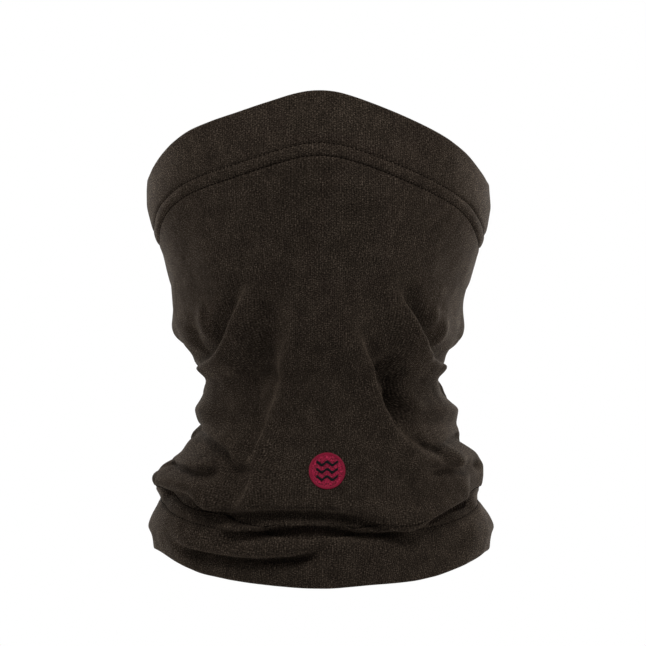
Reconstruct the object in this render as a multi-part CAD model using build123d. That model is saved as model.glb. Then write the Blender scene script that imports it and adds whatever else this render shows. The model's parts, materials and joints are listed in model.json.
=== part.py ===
from build123d import *
import os
from collections import namedtuple
from math import cos, hypot, pi, sin

# Neck gaiter in its worn shape: one jersey tube, closed by a flatlock seam at the back, with both ends
# turned in and cover-stitched, and a round embroidered badge low on the front.
# Millimetres. Origin at the centre of the neck where the tube is narrowest, +Z up, the face at -Y.

# Overall sizes in wear
worn_width = 169.0
worn_depth = 184.5  # front to back
worn_height = 248.0  # nose to collar, at the front

# Cloth and threads
knit_thickness = 1.0
top_hem_depth = 32.0  # from the top rim to the row that holds the turned-in raw edge
collar_hem_depth = 32.0  # the same from the bottom rim
edge_margin = 1.2  # from that row to the raw edge
thread_diameter = 0.36
thread_clearance = 0.14  # between a thread and what it lies on

# Stitches
stitch_pitch = 2.4
stitch_length = 1.9
hem_gauge = 6.4  # between the two needle rows of a hem
seam_gauge = 4.8  # between the two needle rows of the back seam
seam_end_gap = 5.0  # from the ends of the back seam to the rims
seam_slack = 0.1  # the thread inside the back seam bridges the bends of the nape

# Badge, embroidered through the cloth onto a stabiliser
badge_across = 3.5  # centre of the badge, to +X of the middle
drawn_badge_height = -44.0  # stretched below with the tube
badge_diameter = 18.0
border_width = 1.0
ground_thickness = 0.45
border_thickness = 0.7
wave_count = 3
wave_spacing = 3.6
wave_length = 10.4
wave_rise = 1.1
wave_thread_width = 0.9
wave_thickness = 0.35
backing_margin = 3.0  # the stabiliser is trimmed this far outside the badge
backing_thickness = 0.3

# Care label, hanging inside the back from the raw edge of the top hem
label_width = 14.0
label_length = 26.0
label_thickness = 0.4
label_stand_off = 0.9  # clear of the seam thread behind it

# Plan outline of the worn tube at each level: its reach to each side, to the front and to the back.
# Drawn at the sizes above, and stretched below when one of them changes.
Level = namedtuple("Level", "height half_width front back")
drawn_levels = [
    Level(height=170, half_width=78, front=90, back=87),
    Level(height=135, half_width=81, front=96, back=88),
    Level(height=112, half_width=83.5, front=96, back=88.5),
    Level(height=98, half_width=84.5, front=94.5, back=88),
    Level(height=86, half_width=84, front=92.5, back=86.5),
    Level(height=74, half_width=81.5, front=90, back=84),
    Level(height=60, half_width=77.5, front=87, back=80.5),
    Level(height=44, half_width=74.5, front=84.5, back=75.5),
    Level(height=28, half_width=71, front=82, back=69.5),
    Level(height=14, half_width=65, front=79, back=64),
    Level(height=4, half_width=59.5, front=76.5, back=60.5),
    Level(height=-6, half_width=60, front=75, back=60),
    Level(height=-16, half_width=65, front=74.5, back=62),
    Level(height=-28, half_width=71, front=75, back=65.5),
    Level(height=-42, half_width=78, front=77, back=69.5),
    Level(height=-56, half_width=81.5, front=79.5, back=73.5),
    Level(height=-70, half_width=83.5, front=82, back=76.5),
    Level(height=-84, half_width=83.5, front=83.5, back=77.5),
    Level(height=-100, half_width=81.5, front=83, back=77),
    Level(height=-120, half_width=78, front=81, back=75.5),
]
quarter_points = 6  # splines of the plan outlines run through this many steps a quarter

# Side view of the two rims: (depth, height) from the front to the back.
drawn_top_rim = [(-130, 168), (-96, 144), (-77, 130), (-44, 115.5), (0, 102), (50, 98), (120, 96)]
drawn_bottom_rim = [(-130, -116), (-83, -104), (-65, -99), (-35, -91), (0, -86), (40, -84.5), (120, -90)]
across = worn_width / max(2 * level.half_width for level in drawn_levels)
deep = worn_depth / max(level.front + level.back for level in drawn_levels)
tall = worn_height / (drawn_top_rim[1][1] - drawn_bottom_rim[1][1])
levels = [Level(h * tall, w * across, front * deep, back * deep) for h, w, front, back in drawn_levels]
top_rim = [(y * deep, z * tall) for y, z in drawn_top_rim]
bottom_rim = [(y * deep, z * tall) for y, z in drawn_bottom_rim]
badge_height = drawn_badge_height * tall
beyond = 1.2 * worn_height  # past every part of the tube


def outline_point(level, angle, outset):
    """Point of a level's outline, moved out along its normal; angle 0 is the front, a quarter is +X."""
    depth = level.front if cos(angle) > 0 else level.back
    x, y = level.half_width * sin(angle), -depth * cos(angle)
    along_x, along_y = level.half_width * cos(angle), depth * sin(angle)
    size = hypot(along_x, along_y)
    return Vector(x + outset * along_y / size, y - outset * along_x / size, level.height)


def outline(level, outset):
    """A level's outline as a closed wire of four splines."""
    step = pi / 2 / quarter_points
    edges = []
    for quarter in range(4):
        start = pi / 4 + quarter * pi / 2
        points = [outline_point(level, start + i * step, outset) for i in range(quarter_points + 1)]
        edges.append(Edge.make_spline(points))
    return Wire(edges)


def block(outset):
    """The space inside the tube's outer face, moved out by outset, far past both rims."""
    return Solid.make_loft([outline(level, outset) for level in levels], ruled=True)


def between(low_rim, low_shift, high_rim, high_shift):
    """The slab between two rim lines, each shifted in height."""
    low = Edge.make_spline([Vector(0, y, z + low_shift) for y, z in low_rim])
    high = Edge.make_spline([Vector(0, y, z + high_shift) for y, z in high_rim])
    sides = [Edge.make_line(low @ end, high @ end) for end in (0, 1)]
    return extrude(Face(Wire([low, sides[1], high, sides[0]])), amount=beyond, dir=(1, 0, 0), both=True)


def surface_point(angle, height, outset):
    """Point on the block's side at a height between two levels."""
    for upper, lower in zip(levels, levels[1:]):
        if upper.height >= height >= lower.height:
            share = (height - lower.height) / (upper.height - lower.height)
            low = outline_point(lower, angle, outset)
            return low + (outline_point(upper, angle, outset) - low) * share


def rim_height(side_view, depth):
    """Height of a rim's side view at a depth."""
    for a, b in zip(side_view, side_view[1:]):
        if a.Y <= depth <= b.Y:
            return a.Z + (b.Z - a.Z) * (depth - a.Y) / (b.Y - a.Y)


def rim_row(rim, shift, outset):
    """The closed line round the block that runs shift above a rim, starting at the back."""
    side = Edge.make_spline([Vector(0, y, z + shift) for y, z in rim])
    side_view = [side @ (i / 200) for i in range(201)]
    points = []
    for i in range(360):
        angle = pi + i * pi / 180
        height = rim_height(side_view, 0)
        for _ in range(8):
            height = rim_height(side_view, surface_point(angle, height, outset).Y)
        points.append(surface_point(angle, height, outset))
    return points


def even_places(points, count):
    """Even places along a closed line of points, as (place, direction)."""
    closed = points + points[:1]
    lengths = [(b - a).length for a, b in zip(closed, closed[1:])]
    places = []
    walked, side = 0.0, 0
    for i in range(count):
        target = sum(lengths) * i / count
        while walked + lengths[side] < target:
            walked += lengths[side]
            side += 1
        run = closed[side + 1] - closed[side]
        places.append((closed[side] + run * ((target - walked) / lengths[side]), run.normalized()))
    return places


def stitch_count(points):
    closed = points + points[:1]
    return round(sum((b - a).length for a, b in zip(closed, closed[1:])) / stitch_pitch)


def thread(start, end):
    """A straight piece of thread."""
    return Solid.make_cylinder(thread_diameter / 2, (end - start).length, Plane(start, z_dir=end - start))


def needle_row(rim, shift):
    """The stitches that one needle leaves on the outer face, lifted where they cross the seam."""
    lie = thread_diameter / 2 + thread_clearance
    row = rim_row(rim, shift, lie)
    stitches = []
    for place, direction in even_places(row, stitch_count(row)):
        half = direction * (stitch_length / 2)
        if place.Y > 0 and abs(place.X) < seam_gauge / 2 + stitch_length:
            place += Vector(0, 2 * lie, 0)
        stitches.append(thread(place - half, place + half))
    return stitches


def hem_looper(rim, shift_a, shift_b):
    """The looper thread that zigzags over the raw edge, inside the turned-in hem."""
    inset = -2 * knit_thickness - thread_clearance - thread_diameter / 2
    row_a, row_b = (rim_row(rim, shift, inset) for shift in (shift_a, shift_b))
    count = stitch_count(row_a)
    starts = even_places(row_a, count)
    ends = even_places(row_b, 2 * count)[1::2]
    bars = []
    for (start, _), (end, _) in zip(starts, ends):
        short = (end - start).normalized() * thread_diameter
        bars.append(thread(start + short, end - short))
    return bars


def back_line(aside, outset, low, high):
    """Even places up the back of the tube, at one distance from the middle."""
    count = round((high - low) / stitch_pitch)
    heights = [low + (high - low) * i / count for i in range(count + 1)]
    return [Vector(aside, surface_point(pi, height, outset).Y, height) for height in heights]


def seam_needle_row(aside, low, high):
    """One needle row of the flatlock seam, up the outside of the back."""
    points = back_line(aside, thread_diameter / 2 + thread_clearance, low, high)
    short = (1 - stitch_length / stitch_pitch) / 2
    return [thread(a + (b - a) * short, b - (b - a) * short) for a, b in zip(points, points[1:])]


def seam_zigzag(outset, low, high):
    """The cover or looper thread of the flatlock seam, crossing between its needle rows."""
    reach = seam_gauge / 2 - thread_diameter - thread_clearance
    left = back_line(-reach, outset, low, high)
    right = back_line(reach, outset, low, high)
    return [thread(a, (b + c) * 0.5) for a, b, c in zip(left, right, right[1:])]


def layer(post, lift, thickness):
    """The part of a post that lies between lift above the cloth's outer face and thickness more."""
    return (post & block(lift + thickness)) - block(lift)


def badge_post(radius):
    """A round post through the front of the tube at the badge."""
    plane = Plane((badge_across, -knit_thickness, badge_height), z_dir=(0, -1, 0))
    return Solid.make_cylinder(radius, beyond, plane)


def wave_post(index):
    """One wavy stroke of the badge, as a post through the front of the tube."""
    level = badge_height + (index - (wave_count - 1) / 2) * wave_spacing
    bends = 4
    upper, lower = [], []
    for i in range(bends + 1):
        x = badge_across + (i / bends - 0.5) * wave_length
        z = level + wave_rise * (-1) ** i / 2
        upper.append(Vector(x, 0, z + wave_thread_width / 2))
        lower.append(Vector(x, 0, z - wave_thread_width / 2))
    lines = [Edge.make_spline(upper), Edge.make_spline(lower)]
    ends = [Edge.make_line(upper[i], lower[i]) for i in (0, -1)]
    return extrude(Face(Wire([lines[0], ends[1], lines[1], ends[0]])), amount=beyond, dir=(0, -1, 0))


def write(node, shape):
    solids = shape if isinstance(shape, list) else list(shape.solids())
    export_step(Compound(children=solids), f"parts/{node}.step")
    print(node, len(solids), "solids")


os.makedirs("parts", exist_ok=True)

# The knitted tube: one ply between the hems and two plies in them.
single = between(bottom_rim, collar_hem_depth + edge_margin, top_rim, -top_hem_depth - edge_margin)
tube = block(0) & between(bottom_rim, 0, top_rim, 0)
tube = tube - block(-2 * knit_thickness) - (block(-knit_thickness) & single)
write("knit_tube", tube)

# Cover-stitched hems: two needle rows outside and the looper thread inside, at each end.
top_lower = -top_hem_depth
top_upper = top_lower + hem_gauge
write("top_hem_lower_needle_thread", needle_row(top_rim, top_lower))
write("top_hem_upper_needle_thread", needle_row(top_rim, top_upper))
write("top_hem_looper_thread", hem_looper(top_rim, top_lower, top_upper))
collar_upper = collar_hem_depth
collar_lower = collar_upper - hem_gauge
write("collar_hem_upper_needle_thread", needle_row(bottom_rim, collar_upper))
write("collar_hem_lower_needle_thread", needle_row(bottom_rim, collar_lower))
write("collar_hem_looper_thread", hem_looper(bottom_rim, collar_upper, collar_lower))

# The flatlock seam that closes the tube at the back.
lie = thread_diameter / 2 + thread_clearance
bottom_back = rim_row(bottom_rim, 0, 0)[0].Z
top_back = rim_row(top_rim, 0, 0)[0].Z
seam_low = bottom_back + seam_end_gap
seam_high = top_back - seam_end_gap
write("back_seam_left_needle_thread", seam_needle_row(-seam_gauge / 2, seam_low, seam_high))
write("back_seam_right_needle_thread", seam_needle_row(seam_gauge / 2, seam_low, seam_high))
write("back_seam_cover_thread", seam_zigzag(lie, seam_low, seam_high))
inner_low = bottom_back + collar_hem_depth + 3 * edge_margin
inner_high = top_back - top_hem_depth - 3 * edge_margin
inner_lie = -knit_thickness - lie - seam_slack
write("back_seam_looper_thread", seam_zigzag(inner_lie, inner_low, inner_high))

# The badge.
badge_radius = badge_diameter / 2
border_inside = badge_radius - border_width
gap = thread_clearance
write("badge_ground", layer(badge_post(border_inside - gap), gap, ground_thickness))
write("badge_border", layer(badge_post(badge_radius) - badge_post(border_inside), gap, border_thickness))
on_ground = 2 * gap + ground_thickness
write("badge_waves", [layer(wave_post(i), on_ground, wave_thickness).solid() for i in range(wave_count)])
backing_lift = -knit_thickness - gap - backing_thickness
write("badge_backing", layer(badge_post(badge_radius + backing_margin), backing_lift, backing_thickness))

# The care label.
label_top = top_back - top_hem_depth - 2 * edge_margin
label_box = Box(label_width, beyond, label_length, align=(Align.CENTER, Align.MIN, Align.MAX))
label_lift = -knit_thickness - label_stand_off - label_thickness
write("care_label", layer(Pos(0, 0, label_top) * label_box, label_lift, label_thickness))
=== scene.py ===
import bmesh
import bpy
import json
import math
import numpy as np
from mathutils import Matrix, Vector, noise
from mathutils.bvhtree import BVHTree


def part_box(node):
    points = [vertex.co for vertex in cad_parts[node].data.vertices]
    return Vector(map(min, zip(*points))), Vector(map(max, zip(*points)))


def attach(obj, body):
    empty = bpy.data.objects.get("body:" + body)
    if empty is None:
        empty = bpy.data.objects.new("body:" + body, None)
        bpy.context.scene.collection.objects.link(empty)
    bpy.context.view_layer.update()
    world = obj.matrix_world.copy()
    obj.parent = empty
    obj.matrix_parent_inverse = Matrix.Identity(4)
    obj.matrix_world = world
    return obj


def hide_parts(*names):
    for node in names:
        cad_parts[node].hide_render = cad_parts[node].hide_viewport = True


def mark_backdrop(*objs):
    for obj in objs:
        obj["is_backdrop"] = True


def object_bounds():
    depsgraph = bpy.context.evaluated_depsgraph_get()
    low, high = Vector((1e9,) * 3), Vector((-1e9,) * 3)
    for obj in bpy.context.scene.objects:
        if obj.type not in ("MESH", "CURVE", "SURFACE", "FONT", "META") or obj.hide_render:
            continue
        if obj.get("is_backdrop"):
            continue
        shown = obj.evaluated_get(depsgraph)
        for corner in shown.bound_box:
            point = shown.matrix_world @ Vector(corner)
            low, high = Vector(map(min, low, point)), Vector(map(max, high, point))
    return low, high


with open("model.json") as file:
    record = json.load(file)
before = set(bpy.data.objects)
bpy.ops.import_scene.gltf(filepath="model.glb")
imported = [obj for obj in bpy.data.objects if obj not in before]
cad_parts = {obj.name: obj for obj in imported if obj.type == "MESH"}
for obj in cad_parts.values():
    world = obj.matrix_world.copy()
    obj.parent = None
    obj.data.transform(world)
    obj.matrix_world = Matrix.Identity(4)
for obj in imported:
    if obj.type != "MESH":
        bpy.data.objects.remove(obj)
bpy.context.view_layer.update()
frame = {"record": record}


def colour(code):
    """sRGB hex code as linear RGBA."""
    parts = [int(code[i:i + 2], 16) / 255 for i in (0, 2, 4)]
    return [c / 12.92 if c <= 0.04045 else ((c + 0.055) / 1.055) ** 2.4 for c in parts] + [1.0]


def add(tree, kind, settings=None, **links):
    """Add a node; settings are its own properties, links are input names or numbers."""
    node = tree.nodes.new(kind)
    for name, value in (settings or {}).items():
        setattr(node, name, value)
    for name, value in links.items():
        numbered = name[0] == "i" and name[1:].isdigit()
        socket = node.inputs[int(name[1:]) if numbered else name.replace("_", " ")]
        if isinstance(value, bpy.types.NodeSocket):
            tree.links.new(value, socket)
        else:
            socket.default_value = value
    return node


def new_material(name):
    """A material, its node tree and its surface node."""
    material = bpy.data.materials.new(name)
    material.use_nodes = True
    tree = material.node_tree
    return material, tree, tree.nodes["Principled BSDF"]


def make_piece(name, mesh_maker, material):
    """A mesh object in the shared frame, with one material, riding on the gaiter's one body."""
    mesh = bpy.data.meshes.new(name)
    mesh_maker.to_mesh(mesh)
    mesh_maker.free()
    mesh.materials.append(material)
    piece = bpy.data.objects.new(name, mesh)
    bpy.context.scene.collection.objects.link(piece)
    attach(piece, "root")
    return piece


# ---------------------------------------------------------------------------------------------
# Knitted tube
# One rectangle of wool-blend single jersey, sewn into a tube up the back, with both ends turned in once.
# Worn, the top hem is stretched over the nose and cheeks, the slack middle falls in slanting folds round
# the neck, and the collar rests in two rolls on the shoulders.
mm = 0.001
neck = Vector(frame["record"]["mounts"][0]["pos_m"])
# Height above the neck's narrowest point, then reach to the left, right, front and back, in mm.
worn_form = np.array([
    (160, 82, 81, 92, 84),
    (125, 85, 83, 97, 88),
    (108, 86, 84, 98, 89),
    (95, 86.5, 84.5, 96, 88.5),
    (86, 86, 85, 94, 87.5),
    (75, 83, 83, 92, 85),
    (63, 78.5, 79, 90, 81.5),
    (52, 75.5, 75.5, 88, 78),
    (40, 73.5, 72.5, 86, 74),
    (27, 72, 70.5, 84, 69.5),
    (18, 68.5, 67.5, 81.5, 65.5),
    (9, 63, 62.5, 78.5, 62),
    (1, 53.5, 55, 76, 59.5),
    (-6, 56.5, 59.5, 75, 60),
    (-14, 60.5, 68.5, 74, 62),
    (-22, 56.5, 64.5, 74, 64),
    (-29, 64, 68, 75, 66),
    (-36, 66, 77.5, 76, 69),
    (-42, 77.5, 80.5, 77, 71),
    (-50, 81, 78.5, 78, 73.5),
    (-57, 80, 77.5, 78, 74),
    (-66, 83, 82.5, 80, 76),
    (-75, 84.5, 85, 82, 77.5),
    (-84, 82.5, 84, 83.5, 77.5),
    (-92, 78.5, 80, 84, 75.5),
    (-104, 73, 75, 83, 72),
    (-120, 70, 72, 82, 70),
])
# Angle from the front in degrees, then the heights of the top rim and the bottom rim on the left side
# of the face and on the right side.
rim_heights = np.array([
    (0, 142.3, 142.3, -101.6, -101.6),
    (5, 141.9, 141.7, -101.5, -101.5),
    (10, 140.2, 139.8, -101.1, -101.1),
    (17, 136.9, 136.4, -100.4, -100.3),
    (27, 132.6, 131.6, -99.2, -99.5),
    (37, 128.8, 126.6, -97.8, -98.5),
    (49, 123.4, 119.6, -95.5, -96.2),
    (60, 117, 112.6, -91.8, -92.6),
    (70, 110, 104.5, -88, -89.2),
    (80, 102.6, 98.6, -85.2, -85.5),
    (95, 98, 97, -84, -84.5),
    (130, 97, 97, -85, -85),
    (180, 97, 97, -88, -88),
])
mean_radius = 80.0
around = 340
top_hem, collar_hem, ply_gap = 33.0, 33.0, 1.3
near_row, far_row = 1.0, 7.4  # the two needle rows, each from the hem's raw edge
# Depths from a rim, in mm: closest at the rim and at the needle rows.
hem_steps = np.concatenate([
    [0, 0.35, 0.9], np.arange(2.0, 24.0, 1.25), np.arange(24.2, 27.1, 0.55), [28.1, 29.3],
    np.arange(30.4, 33.8, 0.52)])
middle_rows = 128
badge_across, badge_height, badge_stiff = 3.5, -44, 11


def smooth_curve(points, steps=10):
    """A line through the points, rounded at each of them."""
    p = np.array(points, float)
    p = np.vstack([2 * p[0] - p[1], p, 2 * p[-1] - p[-2]])
    line = []
    for i in range(1, len(p) - 2):
        for k in range(steps):
            t = k / steps
            a, b, c, d = p[i - 1:i + 3]
            line.append(0.5 * (2 * b + (c - a) * t + (2 * a - 5 * b + 4 * c - d) * t * t
                               + (3 * b - a - 3 * c + d) * t ** 3))
    line.append(p[-2])
    return np.array(line)


def distances(points):
    """How far along the line each point lies, starting at 0."""
    return np.concatenate([[0], np.cumsum(np.linalg.norm(np.diff(points, axis=0), axis=1))])


def length_of(points):
    return np.linalg.norm(np.diff(points, axis=0), axis=1).sum()


def table_at(table, column, at):
    """A column of the table at any height, eased across its rows."""
    order = np.argsort(table[:, 0])
    keys, values = table[order, 0], table[order, column]
    fine = np.linspace(keys[0], keys[-1], 600)
    linear = np.interp(fine, keys, values)
    kernel = np.exp(-(np.linspace(-2, 2, 9) ** 2))
    padded = np.pad(linear, 4, mode="edge")
    return np.interp(at, fine, np.convolve(padded, kernel / kernel.sum(), "valid"))


def form_point(angle, height):
    """The worn tube without its folds: x, y and outward direction, in mm."""
    left, right, front, back = (table_at(worn_form, k, height) for k in (1, 2, 3, 4))
    side = np.where(np.sin(angle) > 0, right, left)
    depth = np.where(np.cos(angle) > 0, front, back)
    nose = 5.0 * np.clip((height - 85) / 45, 0, 1) * np.exp(-((angle / 0.20) ** 2))
    x, y = side * np.sin(angle), -depth * np.cos(angle) - nose
    out_x, out_y = np.sin(angle) * depth, -np.cos(angle) * side
    size = np.hypot(out_x, out_y)
    return x, y, out_x / size, out_y / size


def on_cloth(points):
    """Fold lines seen from the front, (x, height), as (distance round the cloth, height)."""
    placed = []
    for x, z in smooth_curve(points):
        half = table_at(worn_form, 2 if x > 0 else 1, z)
        placed.append((mean_radius * math.asin(max(-1, min(1, x / half))), z))
    return np.array(placed)


class Folds:
    """Ridges and valleys laid over the cloth, each along its own line."""

    def __init__(self, distance, height):
        self.distance, self.height = distance, height
        self.out = np.zeros_like(distance)
        self.slide = np.zeros_like(distance)
        self.drop = np.zeros_like(distance)

    def lay(self, line, rise, soft, steep, lean=0.0, under=0.0, fade=10.0):
        """Raise a ridge that is soft on the left of its line and steep on the right of it.

        lean carries the crest over its steep side, and under deepens the cloth beneath it."""
        best = np.full(self.distance.shape, 1e9)
        signed = np.zeros_like(best)
        along = np.zeros_like(best)
        dir_s, dir_z = np.zeros_like(best), np.zeros_like(best)
        walked = 0.0
        whole = 2 * math.pi * mean_radius
        for a, b in zip(line, line[1:]):
            run = b - a
            length = math.hypot(*run)
            if length < 1e-6:
                continue
            run = run / length
            ds = (self.distance - a[0] + whole / 2) % whole - whole / 2
            dz = self.height - a[1]
            t = np.clip(ds * run[0] + dz * run[1], 0, length)
            off_s, off_z = ds - t * run[0], dz - t * run[1]
            far = np.hypot(off_s, off_z)
            near = far < best
            best[near] = far[near]
            signed[near] = (np.sign(run[0] * off_z - run[1] * off_s) * far)[near]
            along[near] = (walked + t)[near]
            dir_s[near], dir_z[near] = run[1], -run[0]
            walked += length
        ends = np.clip(along / fade, 0, 1) * np.clip((walked - along) / fade, 0, 1)
        ends = ends * ends * (3 - 2 * ends)
        crest = np.where(signed > 0, np.exp(-((signed / soft) ** 2)),
                         np.exp(-((signed / steep) ** 2)))
        hollow = np.exp(-(((signed + 1.9 * steep) / (1.3 * steep)) ** 2))
        self.out += ends * (rise * crest - under * hollow)
        self.slide += ends * lean * crest * dir_s
        self.drop += ends * lean * crest * dir_z


# The cloth's rows, from the top raw edge inside, over the top rim, down the outside, over the bottom
# rim and up to the collar's raw edge inside. Each row has its depth from a rim, or its share of the way
# from one hem to the other, and its ply: 1 outside and -1 inside.
rows = [("top", depth, -1) for depth in hem_steps[:0:-1] if depth <= top_hem]
rows += [("top", depth, 1) for depth in hem_steps]
rows += [("middle", (i + 1) / (middle_rows + 1), 1) for i in range(middle_rows)]
rows += [("collar", depth, 1) for depth in hem_steps[::-1]]
rows += [("collar", depth, -1) for depth in hem_steps[1:] if depth <= collar_hem]
first_out = [i for i, row in enumerate(rows) if row[2] == 1][0]
last_out = [i for i, row in enumerate(rows) if row[2] == 1][-1]

turn = np.linspace(-math.pi, math.pi, around + 1)
degrees = np.abs(np.degrees(turn))
top_left, top_right, low_left, low_right = (
    np.interp(degrees, rim_heights[:, 0], rim_heights[:, k]) for k in (1, 2, 3, 4))
top_line = np.where(turn < 0, top_left, top_right)
low_line = np.where(turn < 0, low_left, low_right)
for line, seed in ((top_line, 3.0), (low_line, 9.0)):
    kernel = np.exp(-(np.linspace(-2, 2, 13) ** 2))
    line[:] = np.convolve(np.concatenate([line[-7:-1], line, line[1:7]]), kernel / kernel.sum(), "valid")
    line += [0.7 * noise.noise((2.2 * math.sin(a), 2.2 * math.cos(a), seed)) for a in turn]

height = np.zeros((len(rows), around + 1))
for i, (zone, depth, _) in enumerate(rows):
    if zone == "top":
        height[i] = top_line - depth
    elif zone == "collar":
        height[i] = low_line + depth
    else:
        height[i] = (top_line - hem_steps[-1]) * (1 - depth) + (low_line + hem_steps[-1]) * depth
angle = np.broadcast_to(turn, height.shape).copy()
outside = slice(first_out, last_out + 1)

folds = Folds(mean_radius * angle[outside], height[outside])
# Slanting folds from each jaw down to the nape, where the cloth below laps in front.
folds.lay(on_cloth([(-29, 52), (-33, 44), (-37, 36), (-41, 24.5), (-44.5, 15.5), (-49, 8.5), (-54.5, 3),
                    (-57, 0)]),
          6.4, 12, 3.8, lean=1.8, under=4.8, fade=32)
folds.lay(on_cloth([(58, -1), (55, 4.5), (49, 13), (46, 21), (43, 29), (38, 40), (33, 52)]),
          7.0, 11, 3.8, lean=1.8, under=5.4, fade=32)
folds.lay(on_cloth([(46, 15), (50, 22), (55, 29), (59, 38)]), 1.9, 4, 3, fade=8)
folds.lay(on_cloth([(51, 13), (54, 11), (58, 9)]), -2.4, 4, 4, fade=4)
# The two folds that frame the smooth front, and the broad hollow beside each.
folds.lay(on_cloth([(56, -34), (50, -33.5), (42, -30.5), (36, -26), (30.5, -19), (27, -10.5), (24, -1.5),
                    (21, 8), (17, 20), (13, 34)]),
          5.0, 10, 3.8, lean=2.8, under=4.2, fade=34)
folds.lay(on_cloth([(42, -24), (40.5, -12), (35, 2), (30, 14)]), -10.0, 7, 5.5, fade=12)
folds.lay(on_cloth([(38, -4), (42, -11), (46, -17)]), -5.0, 6, 6, fade=5)
folds.lay(on_cloth([(-12, 34), (-15, 19), (-18.5, -7), (-23.5, -22), (-28, -37), (-30, -47), (-34, -56),
                    (-39, -63)]),
          3.6, 11, 5.0, lean=1.0, under=2.6, fade=34)
folds.lay(on_cloth([(-23, -20), (-27.5, -35), (-30, -47), (-34, -56), (-41, -66)]),
          3.0, 5, 2.8, lean=1.6, under=1.6, fade=14)
folds.lay(on_cloth([(-18, 56), (-23, 34), (-28, 12), (-32, -8), (-34, -24)]), -5.0, 8, 8, fade=26)
folds.lay(on_cloth([(20, 58), (27, 40), (33, 22), (37, 6)]), -2.2, 8, 8, fade=22)
folds.lay(on_cloth([(6, 60), (8, 35), (7, 10), (5, -16)]), 0.7, 12, 12, fade=25)
# Left side: two bulges between the jaw fold and the collar roll.
folds.lay(on_cloth([(-64, -17), (-57, -19), (-50, -24), (-43, -31), (-37, -38), (-33, -45)]),
          3.8, 8, 2.8, lean=2.6, under=3.2, fade=12)
folds.lay(on_cloth([(-70, -34), (-63, -34), (-55, -37), (-48, -42)]),
          2.2, 6, 3.5, lean=1.0, under=1.2, fade=9)
# Right side: the bulge under the jaw fold, and the one above the collar roll.
folds.lay(on_cloth([(44, -27), (51, -28.5), (58, -27), (66, -22)]),
          3.6, 8, 2.8, lean=2.4, under=3.4, fade=10)
folds.lay(on_cloth([(66, -32), (67.5, -36), (69.5, -44)]), 2.0, 4, 4, fade=4)
folds.lay(on_cloth([(60, -33), (62, -38), (63, -44)]), -1.6, 4, 4, fade=4)
# Creases on top of the collar roll at each side.
folds.lay(on_cloth([(-82, -40), (-72, -41.5), (-64, -43.5), (-54, -45.5), (-46, -47)]),
          -6.0, 2.8, 2.2, fade=12)
folds.lay(on_cloth([(-80, -37), (-72, -38), (-62, -40), (-52, -43)]), 2.2, 5, 2.6, lean=1.6, fade=10)
folds.lay(on_cloth([(-84, -45.5), (-72, -46.5), (-60, -49), (-48, -51.5)]), 3.4, 3, 5, fade=12)
folds.lay(on_cloth([(50, -46), (62, -44.5), (72, -43.5), (82, -42)]), -3.6, 3.0, 2.4, fade=12)
folds.lay(on_cloth([(54, -41), (64, -40), (74, -39.5)]), 1.8, 4, 2.6, lean=1.2, fade=8)
# The roll that overhangs the collar all the way across the front, deepest right of the badge.
folds.lay(on_cloth([(-79, -49), (-70, -50), (-62, -52.5), (-54, -55.5), (-47, -58.5), (-41, -59.5)]),
          4.0, 9, 3.6, lean=2.4, under=2.6, fade=12)
folds.lay(on_cloth([(-62, -53), (-54, -55.5), (-47, -58.5), (-39, -59.3), (-20, -58), (0, -58), (10, -59),
                    (22, -61), (32, -64.5), (41, -69), (50, -71)]),
          4.6, 9, 3.4, lean=3.8, under=6.6, fade=16)
folds.lay(on_cloth([(36, -68.5), (44, -68.5), (52, -64.5), (60, -59.5), (67, -56), (74, -53)]),
          4.2, 9, 3.4, lean=2.6, under=2.8, fade=12)
# The long lens-shaped roll under it, which hides the collar's upper row of stitches.
folds.lay(on_cloth([(-54, -71), (-45, -70.5), (-36, -70), (-24, -68.5), (-8, -67.5), (6, -68), (22, -70),
                    (34, -71), (44, -71)]),
          4.6, 5, 2.6, lean=2.8, under=6.6, fade=16)
# Soft ripples in the turned hem of the collar.
folds.lay(on_cloth([(-74, -77), (-66, -79), (-54, -81.2), (-39, -83), (-24, -82.8), (-8, -80.8), (5, -77.5)]),
          4.2, 5.5, 2.5, lean=2.8, under=8.0, fade=20)
folds.lay(on_cloth([(-40, -96), (-20, -93.5), (-4, -92), (10, -93)]), -1.2, 4, 5, fade=14)
folds.lay(on_cloth([(30, -90), (48, -87), (64, -81), (76, -74)]), -1.4, 5, 7, fade=16)
folds.lay(on_cloth([(44, -80), (58, -76), (70, -69)]), -1.2, 4, 5, fade=12)
# Dents and pulls in the part stretched over the face.
folds.lay(on_cloth([(-54, 124), (-46, 121), (-37, 118)]), -2.2, 6, 6, fade=8)
folds.lay(on_cloth([(38, 122), (47, 117), (56, 110)]), -2.2, 7, 6, fade=9)
folds.lay(on_cloth([(50, 124), (62, 116), (72, 105)]), 1.2, 5, 5, fade=10)
folds.lay(on_cloth([(-19, 137), (-12, 134), (-4, 132)]), -0.8, 4, 4, fade=6)
folds.lay(on_cloth([(-65, 32), (-63, 22), (-60, 12)]), -2.6, 5, 5, fade=8)
folds.lay(on_cloth([(-60, 40), (-57, 26), (-54, 14)]), 2.0, 5, 5, fade=9)
folds.lay(on_cloth([(62, 34), (60, 22), (57, 12)]), 2.0, 5, 5, fade=10)
folds.lay(on_cloth([(-66, 74), (-50, 54), (-34, 44)]), 1.2, 11, 9, fade=24)
folds.lay(on_cloth([(66, 74), (52, 58), (38, 46)]), 1.3, 11, 9, fade=24)
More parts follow.
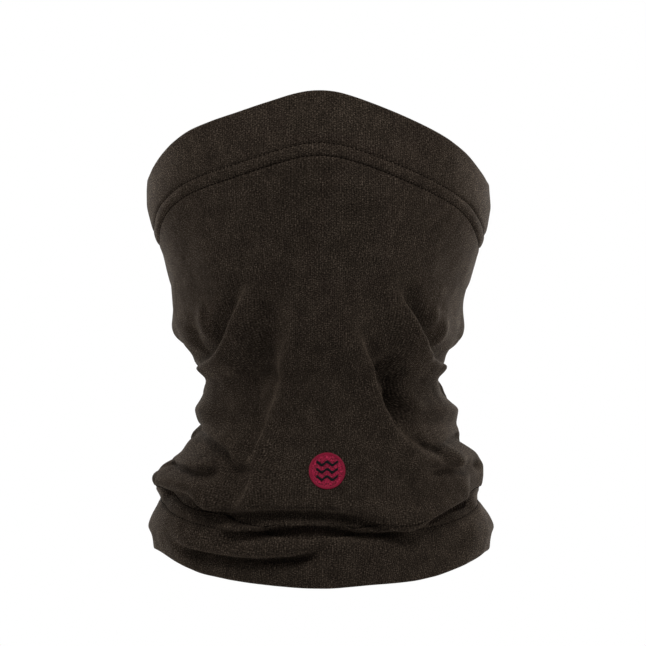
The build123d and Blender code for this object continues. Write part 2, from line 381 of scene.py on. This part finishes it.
# Round the sides and back: lines of (distance round the cloth from the front, height).
for way, shift in ((-1, 0.0), (1, 3.0)):
    lines = [
        ([(116, 3), (134, 0), (152, -6), (186, -13), (226, -15 + shift)], 4.2, 9, 4, 2.4, 2.6),
        ([(112, 30), (140, 22), (172, 13), (206, 8), (240, 9)], 3.2, 9, 5, 1.6, 2.0),
        ([(114, -20), (130, -22), (152, -28), (190, -33), (232, -31 - shift)], 3.4, 8, 4, 2.2, 2.2),
        ([(104, -50), (126, -50), (158, -53), (200, -52), (250, -53)], 2.4, 8, 5, 1.2, 1.4),
        ([(110, -70), (140, -72), (176, -70 + shift), (214, -72)], 1.6, 6, 4, 0.8, 1.0),
        ([(118, 58), (148, 48), (184, 41), (220, 40 + shift)], 1.5, 11, 7, 0.6, 0.8),
    ]
    for points, rise, soft, steep, lean, under in lines:
        line = smooth_curve([(way * s, z) for s, z in points][::way])
        folds.lay(line, rise, soft, steep, lean, under, fade=22)

# Slack cloth is never quite even, and the needle rows draw both hems in.
uneven = np.array([[1.5 * noise.noise((2.6 * math.sin(a), 2.6 * math.cos(a), z / 34))
                    + 0.35 * noise.noise((9 * math.sin(a), 9 * math.cos(a), z / 9))
                    for a, z in zip(angle[i], height[i])] for i in range(first_out, last_out + 1)])
depth_top = top_line - height[outside]
depth_low = height[outside] - low_line
slack = np.clip((depth_top - 20) / 40, 0.35, 1.0)
groove = np.zeros_like(depth_top)
for depth, hem in ((depth_top, top_hem), (depth_low, collar_hem)):
    folds.out += 0.45 / (1 + np.exp((depth - hem) / 0.5))
    for row, pull in ((hem - near_row, 1.1), (hem - far_row, 0.6)):
        groove -= pull * np.exp(-(((depth - row) / 0.8) ** 2))
    groove += 0.3 * np.exp(-(((depth - hem + 4.2) / 1.9) ** 2))
stretched = np.clip(np.minimum(depth_top / 22, depth_low / 12), 0.25, 1.0)
# The badge is stiff, so the cloth lies flatter round it.
from_badge = np.hypot(mean_radius * angle[outside] - badge_across, height[outside] - badge_height)
stretched = stretched * (1 - 0.8 * np.exp(-((from_badge / badge_stiff) ** 4)))
out = folds.out * stretched + uneven * slack
x, y, out_x, out_y = form_point(angle[outside] + folds.slide * stretched / mean_radius,
                                height[outside] + folds.drop * stretched)
shape = np.dstack([x + out * out_x, y + out * out_y, height[outside] + folds.drop * stretched])
# Jersey has some body, so ease the surface twice, leaving the two rims where they are.
for _ in range(2):
    ring = np.concatenate([shape[:, -2:-1], shape, shape[:, 1:2]], axis=1)
    level = (ring[:, :-2] + ring[:, 2:]) / 2
    level[1:-1] = (level[1:-1] + (shape[:-2] + shape[2:]) / 2) / 2
    level[[0, -1]] = shape[[0, -1]]
    shape = shape * 0.5 + level * 0.5

closed = np.concatenate([shape[:, -4:-1], shape, shape[:, 1:4]], axis=1)
along = np.gradient(closed, axis=1)[:, 3:-3]
up = -np.gradient(shape, axis=0)
facing = np.cross(along, up)
facing /= np.linalg.norm(facing, axis=2, keepdims=True)
shape = shape + facing * groove[:, :, None]

# Turn both hems in: the rim is a small round fold, and the inner ply hangs one gap inside the outer.
cloth = np.zeros((len(rows), around + 1, 3))
for i, (zone, depth, ply) in enumerate(rows):
    if zone == "middle":
        cloth[i] = shape[i - first_out]
        continue
    if zone == "top":
        twin = int(np.argmin(np.abs(hem_steps - depth)))
    else:
        twin = len(shape) - 1 - int(np.argmin(np.abs(hem_steps - depth)))
    rounding = math.sqrt(1 - (1 - min(depth / 0.9, 1.0)) ** 2)
    inward = ply_gap / 2 * (1 - ply * rounding)
    cloth[i] = shape[twin] - facing[twin] * inward
cloth = cloth * mm + np.array(neck)
outer_cloth = cloth[outside]

bm = bmesh.new()
uv_layer = bm.loops.layers.uv.new("cloth")
bmesh.ops.create_grid(bm, x_segments=around, y_segments=len(rows) - 1, size=0.5, calc_uvs=True)
cut_width = 0.50
lengths = distances(cloth[:, around // 2])
for face in bm.faces:
    for loop in face.loops:
        across, down = loop.vert.co.x + 0.5, 0.5 - loop.vert.co.y
        loop[uv_layer].uv = (across * cut_width, lengths[-1] - lengths[round(down * (len(rows) - 1))])
for vert in bm.verts:
    column, row = round((vert.co.x + 0.5) * around), round((0.5 - vert.co.y) * (len(rows) - 1))
    vert.co = cloth[row, column]
bmesh.ops.remove_doubles(bm, verts=[v for v in bm.verts if v.is_boundary], dist=0.00002)
for face in bm.faces:
    face.smooth = True

# Wool-blend single jersey, spun from several browns so that the yarn looks heathered.
jersey, tree, surface = new_material("heathered_wool_jersey")
uv = add(tree, "ShaderNodeUVMap", {"uv_map": "cloth"})
place = add(tree, "ShaderNodeTexCoord")
# Yarn shades change along the course, so the specks are drawn wide and short.
stretch = add(tree, "ShaderNodeMapping", i0=uv.outputs["UV"], Scale=(1100, 1900, 1))
specks = add(tree, "ShaderNodeTexNoise", i0=stretch.outputs[0], Scale=1.0, Detail=2.0, Roughness=0.6)
patches = add(tree, "ShaderNodeTexNoise", i0=place.outputs["Object"], Scale=150.0, Detail=4.0, Roughness=0.75)
clumps = add(tree, "ShaderNodeMath", {"operation": "MULTIPLY"}, i0=patches.outputs[0], i1=0.2)
mottle = add(tree, "ShaderNodeMath", {"operation": "MULTIPLY_ADD"},
             i0=specks.outputs[0], i1=0.8, i2=clumps.outputs[0])
shades = add(tree, "ShaderNodeValToRGB", i0=mottle.outputs[0])
ramp = shades.color_ramp
ramp.elements[0].position, ramp.elements[0].color = 0.38, colour("15110e")
ramp.elements[1].position, ramp.elements[1].color = 0.64, colour("4f4740")
for at, code in ((0.46, "231e1a"), (0.51, "2b2621"), (0.56, "342d27")):
    ramp.elements.new(at).color = colour(code)
# Knit: each wale is a column of V-shaped stitches, one to each course.
wale_width, course_height = 0.00115, 0.00085
split = add(tree, "ShaderNodeSeparateXYZ", i0=uv.outputs["UV"])
wale = add(tree, "ShaderNodeMath", {"operation": "MULTIPLY"}, i0=split.outputs[0], i1=1 / wale_width)
tri = add(tree, "ShaderNodeMath", {"operation": "PINGPONG"}, i0=wale.outputs[0], i1=0.5)
course = add(tree, "ShaderNodeMath", {"operation": "MULTIPLY"}, i0=split.outputs[1], i1=1 / course_height)
vee = add(tree, "ShaderNodeMath", {"operation": "MULTIPLY_ADD"},
          i0=tri.outputs[0], i1=1.6, i2=course.outputs[0])
vee_wave = add(tree, "ShaderNodeMath", {"operation": "PINGPONG"}, i0=vee.outputs[0], i1=0.5)
rib = add(tree, "ShaderNodeMath", {"operation": "MULTIPLY_ADD"},
          i0=tri.outputs[0], i1=1.6, i2=vee_wave.outputs[0])
fuzz = add(tree, "ShaderNodeMath", {"operation": "ADD"}, i0=rib.outputs[0], i1=specks.outputs[0])
relief = add(tree, "ShaderNodeBump", Strength=0.55, Distance=0.0004, Height=fuzz.outputs[0])
tree.links.new(relief.outputs[0], surface.inputs["Normal"])
# Painted shade: the yarn colour is darkened where the knit's relief is low, in the stitch gaps, where shade
# falls.
gap_shade = add(tree, "ShaderNodeMath", {"operation": "MULTIPLY_ADD"}, i0=rib.outputs[0], i1=0.7, i2=0.55)
shaded = add(tree, "ShaderNodeVectorMath", {"operation": "SCALE"}, i0=shades.outputs[0])
tree.links.new(gap_shade.outputs[0], shaded.inputs["Scale"])
tree.links.new(shaded.outputs[0], surface.inputs["Base Color"])
surface.inputs["Roughness"].default_value = 0.95
surface.inputs["Specular IOR Level"].default_value = 0.03
surface.inputs["Sheen Weight"].default_value = 0.15
surface.inputs["Sheen Roughness"].default_value = 0.45
# Loose fibres catch light from behind, in the same shades as the yarn they stand out of.
fibres = add(tree, "ShaderNodeVectorMath", {"operation": "SCALE"}, i0=shaded.outputs[0])
fibres.inputs["Scale"].default_value = 20.0
tree.links.new(fibres.outputs[0], surface.inputs["Sheen Tint"])

knit_tube = make_piece("knit_tube_cloth", bm, jersey)
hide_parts("knit_tube")


# ---------------------------------------------------------------------------------------------
# Cover-stitched hems
# A twin-needle machine holds each turned-in hem: two rows of plain stitches outside, 6.4 mm apart, and
# one looper thread that zigzags over the raw edge inside. Spun polyester, dyed to match the yarn.
stitch_pitch, stitch_span, stitch_radius = 2.4 * mm, 1.4 * mm, 0.36 * mm
looper_radius, cover_radius = 0.2 * mm, 0.22 * mm


def lay_thread(bm, start, end, outward, radius, rounds=1):
    """One visible length of thread: a slim rounded form from start to end."""
    run = end - start
    across = run.cross(outward).normalized()
    up = across.cross(run).normalized()
    axes = Matrix((run / 2 * 1.12, across * radius, up * radius)).transposed().to_4x4()
    place_at = Matrix.Translation((start + end) / 2) @ axes
    bmesh.ops.create_icosphere(bm, subdivisions=rounds, radius=1.0, matrix=place_at)


def row_on(grid, normals, hem, depth):
    """The closed line on a hem at one depth from its rim, as points and outward directions."""
    at = np.interp(depth, hem_steps, np.arange(len(hem_steps)))
    at = at if hem == "top" else len(grid) - 1 - at
    lower = int(at)
    share = at - lower
    upper = min(lower + 1, len(grid) - 1)
    points = grid[lower] * (1 - share) + grid[upper] * share
    return points, normals[lower] * (1 - share) + normals[upper] * share


def even_along(points, normals, count):
    """Even places along a line: points and outward directions."""
    lengths = distances(points)
    at = np.linspace(0, lengths[-1], count, endpoint=False)
    place = np.stack([np.interp(at, lengths, points[:, k]) for k in range(3)], axis=1)
    outward = np.stack([np.interp(at, lengths, normals[:, k]) for k in range(3)], axis=1)
    return [Vector(v) for v in place], [Vector(v).normalized() for v in outward]


def thread_material(name, code, sheen=0.0, roughness=0.6, gloss=0.3):
    """A plain material for thread, tape or other small soft goods."""
    material, _, surface = new_material(name)
    surface.inputs["Base Color"].default_value = colour(code)
    surface.inputs["Roughness"].default_value = roughness
    surface.inputs["Specular IOR Level"].default_value = gloss
    surface.inputs["Sheen Weight"].default_value = sheen
    return material


hem_thread = thread_material("spun_polyester_needle_thread", "14100d", roughness=0.9, gloss=0.03)
looper_thread = thread_material("textured_looper_thread", "1c1613", roughness=0.9, gloss=0.03)
for hem, full in (("top", top_hem), ("collar", collar_hem)):
    edge_row, rim_row = full - near_row, full - far_row
    lower_row, upper_row = (edge_row, rim_row) if hem == "top" else (rim_row, edge_row)
    # The rows nearer the raw edges are pulled tightest, so their stitches show most.
    for name, depth in (("lower", lower_row), ("upper", upper_row)):
        rise = (0.14 if depth == edge_row else -0.06) * mm
        points, normals = row_on(outer_cloth, facing, hem, depth)
        places, outward = even_along(points, normals, round(length_of(points) / stitch_pitch))
        bm = bmesh.new()
        for i, place in enumerate(places):
            run = (places[(i + 1) % len(places)] - places[i - 1]).normalized() * stitch_span / 2
            at = place + outward[i] * rise
            lay_thread(bm, at - run, at + run, outward[i], stitch_radius)
        piece = make_piece(f"{hem}_hem_{name}_needle_stitches", bm, hem_thread)
        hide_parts(f"{hem}_hem_{name}_needle_thread")
    inner = outer_cloth - facing * (ply_gap + 0.2) * mm
    edge_points, edge_normals = row_on(inner, facing, hem, full)
    fold_points, fold_normals = row_on(inner, facing, hem, rim_row)
    count = round(length_of(edge_points) / stitch_pitch)
    edge_places, edge_out = even_along(edge_points, edge_normals, count)
    fold_places, fold_out = even_along(fold_points, fold_normals, 2 * count)
    bm = bmesh.new()
    for i in range(count):
        for other in (2 * i - 1, 2 * i + 1):
            lay_thread(bm, edge_places[i], fold_places[other % (2 * count)], edge_out[i], looper_radius)
    piece = make_piece(f"{hem}_hem_looper_zigzag", bm, looper_thread)
    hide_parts(f"{hem}_hem_looper_thread")

# ---------------------------------------------------------------------------------------------
# Flatlock seam up the back
# The tube's two long edges butt together and are covered, not overlapped, so the seam lies flat on the
# nape: a needle row each side, a cover thread across the outside and a looper thread across the inside.
seam_half = 2.4 * mm
column_pitch = np.linalg.norm(outer_cloth[:, 1] - outer_cloth[:, 0], axis=1)


def seam_line(offset, lift, first, last):
    """A line up the back, offset to one side of the seam, lifted from the cloth."""
    beside = 3 if offset > 0 else -4
    share = (abs(offset) / (column_pitch * 3))[:, None]
    line = outer_cloth[:, 0] * (1 - share) + outer_cloth[:, beside] * share
    line = line + facing[:, 0] * lift
    return line[first:last], facing[first:last, 0]


seam_rows = (4, len(outer_cloth) - 4)
inner_rows = (len(hem_steps) + 2, len(outer_cloth) - len(hem_steps) - 2)
for name, side in (("left", -1), ("right", 1)):
    points, normals = seam_line(side * seam_half, 0.1 * mm, *seam_rows)
    places, outward = even_along(points, normals, round(length_of(points) / stitch_pitch))
    bm = bmesh.new()
    for start, end, up in zip(places, places[1:], outward):
        short = (end - start) * 0.12
        lay_thread(bm, start + short, end - short, up, stitch_radius)
    piece = make_piece(f"back_seam_{name}_needle_stitches", bm, hem_thread)
    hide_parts(f"back_seam_{name}_needle_thread")
for name, lift, span in (("cover", 0.15 * mm, seam_rows), ("looper", -0.25 * mm, inner_rows)):
    left, normals = seam_line(-seam_half * 0.9, lift, *span)
    right, _ = seam_line(seam_half * 0.9, lift, *span)
    count = round(length_of(left) / stitch_pitch)
    left_places, outward = even_along(left, normals, 2 * count)
    right_places, _ = even_along(right, normals, 2 * count)
    bm = bmesh.new()
    for i in range(0, 2 * count - 2, 2):
        lay_thread(bm, left_places[i], right_places[i + 1], outward[i], cover_radius)
        lay_thread(bm, right_places[i + 1], left_places[i + 2], outward[i], cover_radius)
    piece = make_piece(f"back_seam_{name}_zigzag", bm, looper_thread)
    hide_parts(f"back_seam_{name}_thread")

# ---------------------------------------------------------------------------------------------
# Embroidered badge
# Sewn straight through the jersey on an embroidery machine: rows of crimson fill stitches, a satin
# border, three dark teal waves on top, and a round of cut-away stabiliser left behind the cloth.
bm = bmesh.new()
bm.from_mesh(knit_tube.data)
cloth_tree = BVHTree.FromBMesh(bm)
bm.free()
badge_low, badge_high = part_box("badge_border")
badge_at = (badge_low + badge_high) / 2
badge_radius = (badge_high.z - badge_low.z) / 2


def on_front(x, z, lift):
    """Point on the front of the cloth, x and z from the badge's centre, lifted off it."""
    hit, normal, _, _ = cloth_tree.ray_cast(Vector((badge_at.x + x, -1, badge_at.z + z)), Vector((0, 1, 0)))
    if normal.y > 0:
        normal = -normal
    return hit + normal * lift, normal


def sew(bm, x0, z0, x1, z1, lift, radius):
    """A stitch on the badge, between two places measured from its centre."""
    start, outward = on_front(x0, z0, lift)
    end, _ = on_front(x1, z1, lift)
    lay_thread(bm, start, end, outward, radius, rounds=2)


crimson = thread_material("crimson_rayon_fill_thread", "920a31", roughness=0.5, gloss=0.2)
deep_crimson = thread_material("crimson_rayon_border_thread", "860d33", roughness=0.5, gloss=0.2)
teal = thread_material("dark_teal_rayon_thread", "0a1418", roughness=0.5, gloss=0.1)
# The fill colour varies at random, a little lighter and darker in spots about a thread wide.
tree = crimson.node_tree
place = add(tree, "ShaderNodeTexCoord")
fill_tone_noise = add(tree, "ShaderNodeTexNoise", i0=place.outputs["Object"], Scale=1300.0, Detail=2.0)
fill_tones = add(tree, "ShaderNodeValToRGB", i0=fill_tone_noise.outputs[0])
ramp = fill_tones.color_ramp
ramp.elements[0].position, ramp.elements[0].color = 0.36, colour("680423")
ramp.elements[1].position, ramp.elements[1].color = 0.66, colour("bb2050")
tree.links.new(fill_tones.outputs[0], tree.nodes["Principled BSDF"].inputs["Base Color"])

# Fill: rows 0.36 mm apart, in stitches 3 mm long that start a third further along in each next row.
fill_radius, row_step, fill_length = badge_radius - 0.9 * mm, 0.36 * mm, 3.0 * mm
fill_lift, fill_thread = 0.16 * mm, 0.22 * mm
bm = bmesh.new()
row_count = int(fill_radius / row_step)
for row in range(-row_count, row_count + 1):
    z = row * row_step
    reach = math.sqrt(max(fill_radius ** 2 - z * z, 0))
    start = -reach - (row % 3) * fill_length / 3
    while start < reach:
        x0, x1 = max(start, -reach), min(start + fill_length, reach)
        if x1 - x0 > 0.5 * mm:
            sew(bm, x0, z, x1, z, fill_lift, fill_thread)
        start += fill_length
badge_ground = make_piece("badge_fill_stitches", bm, crimson)
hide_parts("badge_ground")

# Border: satin stitches side by side, each pointing at the centre.
bm = bmesh.new()
border_count, border_inside = 150, badge_radius - 1.35 * mm
border_lift, border_thread = 0.3 * mm, 0.24 * mm
for i in range(border_count):
    a = 2 * math.pi * i / border_count
    sew(bm, border_inside * math.cos(a), border_inside * math.sin(a),
        badge_radius * math.cos(a), badge_radius * math.sin(a), border_lift, border_thread)
badge_border = make_piece("badge_satin_border", bm, deep_crimson)
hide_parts("badge_border")

# Waves: each a band of short upright stitches that follows a cosine.
bm = bmesh.new()
wave_half, wave_gap, wave_rise, wave_stitches = 5.2 * mm, 3.6 * mm, 0.8 * mm, 48
slant, half_stitch = 0.12 * mm, 0.7 * mm
wave_lift, wave_thread = 0.46 * mm, 0.17 * mm
for wave in (-1, 0, 1):
    for i in range(wave_stitches):
        x = wave_half * (2 * i / (wave_stitches - 1) - 1)
        z = wave * wave_gap + wave_rise * math.cos(2 * math.pi * x / wave_half)
        sew(bm, x - slant, z - half_stitch, x + slant, z + half_stitch, wave_lift, wave_thread)
badge_waves = make_piece("badge_satin_waves", bm, teal)
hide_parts("badge_waves")

# The stabiliser is a soft non-woven round, behind the badge and a little larger.
bm = bmesh.new()
backing_radius = badge_radius + 3 * mm
bmesh.ops.create_grid(bm, x_segments=24, y_segments=24, size=1.0)
for vert in bm.verts:
    square = vert.co.copy()
    x = square.x * math.sqrt(1 - square.y ** 2 / 2) * backing_radius
    z = square.y * math.sqrt(1 - square.x ** 2 / 2) * backing_radius
    vert.co, _ = on_front(x, z, -0.8 * mm)
bmesh.ops.recalc_face_normals(bm, faces=bm.faces)
bmesh.ops.solidify(bm, geom=bm.faces[:], thickness=0.3 * mm)
for face in bm.faces:
    face.smooth = True
non_woven = thread_material("cut_away_stabiliser", "242424", roughness=0.9)
badge_backing = make_piece("badge_stabiliser", bm, non_woven)
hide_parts("badge_backing")

# ---------------------------------------------------------------------------------------------
# Care label
# A blank strip of woven tape, caught under the raw edge of the top hem at the back. It hangs inside,
# and curls a little further from the cloth towards its free end.
label_low, label_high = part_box("care_label")
bm = bmesh.new()
bmesh.ops.create_grid(bm, x_segments=8, y_segments=16, size=0.5)
for vert in bm.verts:
    x = vert.co.x * (label_high.x - label_low.x)
    share = 0.5 - vert.co.y
    z = label_high.z - share * (label_high.z - label_low.z)
    hit, _, _, _ = cloth_tree.ray_cast(Vector((x, 0, z)), Vector((0, 1, 0)))
    vert.co = Vector((x, hit.y - (1.0 + 1.6 * share ** 2) * mm, z))
bmesh.ops.recalc_face_normals(bm, faces=bm.faces)
bmesh.ops.solidify(bm, geom=bm.faces[:], thickness=0.35 * mm)
tape = thread_material("blank_label_tape", "a9a59a", sheen=0.2, roughness=0.7)
care_label = make_piece("care_label_tape", bm, tape)
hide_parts("care_label")


# ---------------------------------------------------------------------------------------------
# Stage
# A plain pale floor and a white surround. Soft warm lights stand behind the gaiter on both sides,
# with weaker ones beside it and in front.
low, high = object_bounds()
centre = (low + high) / 2
bm = bmesh.new()
floor_at = Matrix.Translation((0, 0, low.z - 0.2))
bmesh.ops.create_circle(bm, cap_ends=True, segments=64, radius=1.6, matrix=floor_at)
floor_mesh = bpy.data.meshes.new("floor")
bm.to_mesh(floor_mesh)
bm.free()
pale, _, surface = new_material("pale_floor")
surface.inputs["Base Color"].default_value = colour("f4f4f4")
floor_mesh.materials.append(pale)
floor = bpy.data.objects.new("floor", floor_mesh)
bpy.context.scene.collection.objects.link(floor)
stage = [floor]

for name, place_at, size, power in (
    ("left_back_light", (-0.76, 1.48, 0.2), 0.9, 24),
    ("right_back_light", (0.8, 1.45, 0.2), 0.9, 31),
    ("left_side_light", (-1.08, -0.3, 0.25), 0.4, 3.4),
    ("right_side_light", (1.08, -0.3, 0.25), 0.4, 4.0),
    ("front_light", (0.0, -0.36, 0.45), 0.3, 2.05),
):
    light = bpy.data.lights.new(name, "AREA")
    light.size, light.energy = size, power
    light.color = (1.0, 0.95, 0.89)
    lamp = bpy.data.objects.new(name, light)
    lamp.location = centre + Vector(place_at)
    lamp.rotation_mode = "QUATERNION"
    lamp.rotation_quaternion = (centre - lamp.location).to_track_quat("-Z", "Y")
    bpy.context.scene.collection.objects.link(lamp)
    stage.append(lamp)

world = bpy.data.worlds.new("white_surround")
world.use_nodes = True
sky = world.node_tree.nodes["Background"]
sky.inputs["Color"].default_value = (1, 1, 1, 1)
# White to the camera, and dim as a source of light.
ambient = 0.11
seen = add(world.node_tree, "ShaderNodeLightPath")
brightness = add(world.node_tree, "ShaderNodeMath", {"operation": "MULTIPLY_ADD"},
                 i0=seen.outputs["Is Camera Ray"], i1=0.89, i2=ambient)
world.node_tree.links.new(brightness.outputs[0], sky.inputs["Strength"])
bpy.context.scene.world = world
bpy.context.scene.view_settings.view_transform = "Standard"

camera = bpy.data.objects.new("camera", bpy.data.cameras.new("camera"))
camera.data.lens = 446
camera.data.clip_end = 50
camera.location = neck + Vector((0.0015, -4.0, 0.0285))
camera.rotation_euler = (math.radians(90), 0, 0)
bpy.context.scene.collection.objects.link(camera)
bpy.context.scene.camera = camera
stage.append(camera)
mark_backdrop(*stage)

low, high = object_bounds()
